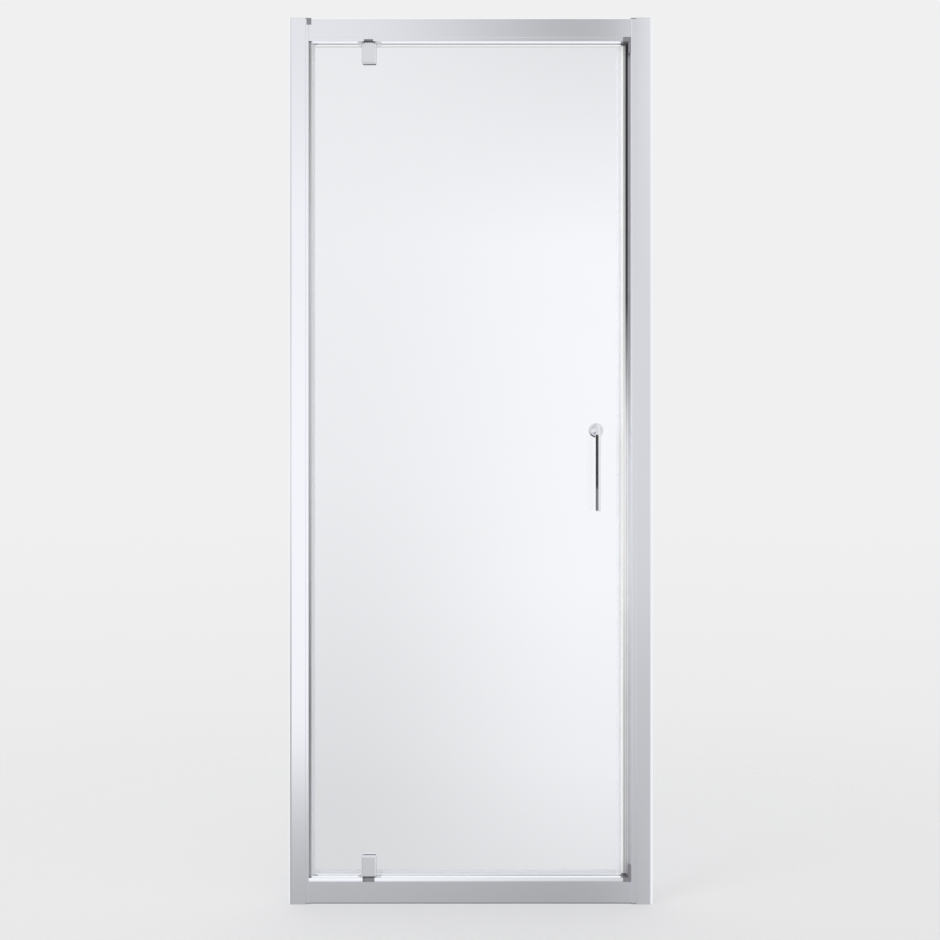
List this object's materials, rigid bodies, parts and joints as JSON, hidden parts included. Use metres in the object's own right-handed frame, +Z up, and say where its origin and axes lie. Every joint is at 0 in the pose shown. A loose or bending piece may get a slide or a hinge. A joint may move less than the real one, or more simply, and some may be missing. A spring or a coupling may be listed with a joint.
{
  "type": "pivot shower door",
  "caption": "Framed shower door: a glass pane pivots in a bright metal frame, with telescoping wall channels, clamp brackets, soft seals and a slim bar handle.",
  "frame": {"origin": "middle of the sill's underside, on the middle plane of the glass", "axes": "+X along the sill to the handle side, +Y into the shower, +Z up"},
  "size_m": [0.76, 0.0782, 1.85],
  "materials": {
    "polished_profile": "bright polished, anodised, with fine lengthwise drawing lines",
    "chrome_fitting": "polished chrome plate",
    "clear_glass": "clear toughened glass with polished edges",
    "clear_seal": "translucent flexible strip, slightly grey",
    "black_magnet": "matt black magnetic rubber",
    "grey_plastic": "moulded dark grey plastic",
    "soft_gasket": "soft translucent pad",
    "white_nylon": "turned white nylon",
    "stainless_steel": "plain stainless steel"
  },
  "bodies": {
    "frame": {"bottom_block_screws": "stainless_steel", "bottom_pivot_block": "grey_plastic", "bottom_pivot_pin": "stainless_steel", "bottom_rail": "polished_profile", "corner_screws": "stainless_steel", "jamb_magnet": "black_magnet", "jamb_magnet_seal": "clear_seal", "left_jamb": "polished_profile", "left_jamb_cap": "grey_plastic", "left_jamb_foot": "grey_plastic", "left_jamb_seal": "clear_seal", "right_jamb": "polished_profile", "right_jamb_cap": "grey_plastic", "right_jamb_foot": "grey_plastic", "seal_end_blocks": "grey_plastic", "thrust_washer": "white_nylon", "top_block_screws": "stainless_steel", "top_pivot_block": "grey_plastic", "top_pivot_pin": "stainless_steel", "top_rail": "polished_profile"},
    "door": {"bottom_bracket_back": "chrome_fitting", "bottom_bracket_front": "chrome_fitting", "bottom_bracket_gaskets": "soft_gasket", "bottom_bracket_screw": "stainless_steel", "bottom_pivot_bush": "white_nylon", "bottom_screw_sleeve": "white_nylon", "drip_seals": "clear_seal", "glass_pane": "clear_glass", "handle_gaskets": "soft_gasket", "handle_grub_screw": "stainless_steel", "handle_sleeve": "white_nylon", "handle_stud": "stainless_steel", "inner_handle_cap": "chrome_fitting", "outer_handle_bar": "chrome_fitting", "outer_handle_post": "chrome_fitting", "outer_handle_rosette": "chrome_fitting", "pane_magnet": "black_magnet", "pane_magnet_seal": "clear_seal", "top_bracket_back": "chrome_fitting", "top_bracket_front": "chrome_fitting", "top_bracket_gaskets": "soft_gasket", "top_bracket_screw": "stainless_steel", "top_pivot_bush": "white_nylon", "top_screw_sleeve": "white_nylon"},
    "left_channel": {"left_channel_screw_covers": "chrome_fitting", "left_channel_screws": "stainless_steel", "left_clamp_nuts": "stainless_steel", "left_wall_channel": "polished_profile"},
    "right_channel": {"right_channel_screw_covers": "chrome_fitting", "right_channel_screws": "stainless_steel", "right_clamp_nuts": "stainless_steel", "right_wall_channel": "polished_profile"}
  },
  "joints": [
    {"name": "door_pivot", "type": "hinge", "parent": "frame", "child": "door", "pos_m": [-0.214, 0, 0.06], "axis": [0, 0, -1], "range_deg": [0, 100]},
    {"name": "left_channel_slide", "type": "slide", "parent": "frame", "child": "left_channel", "axis": [-1, 0, 0], "range_m": [-0.006, 0.009]},
    {"name": "right_channel_slide", "type": "slide", "parent": "frame", "child": "right_channel", "axis": [1, 0, 0], "range_m": [-0.006, 0.009]}
  ]
}
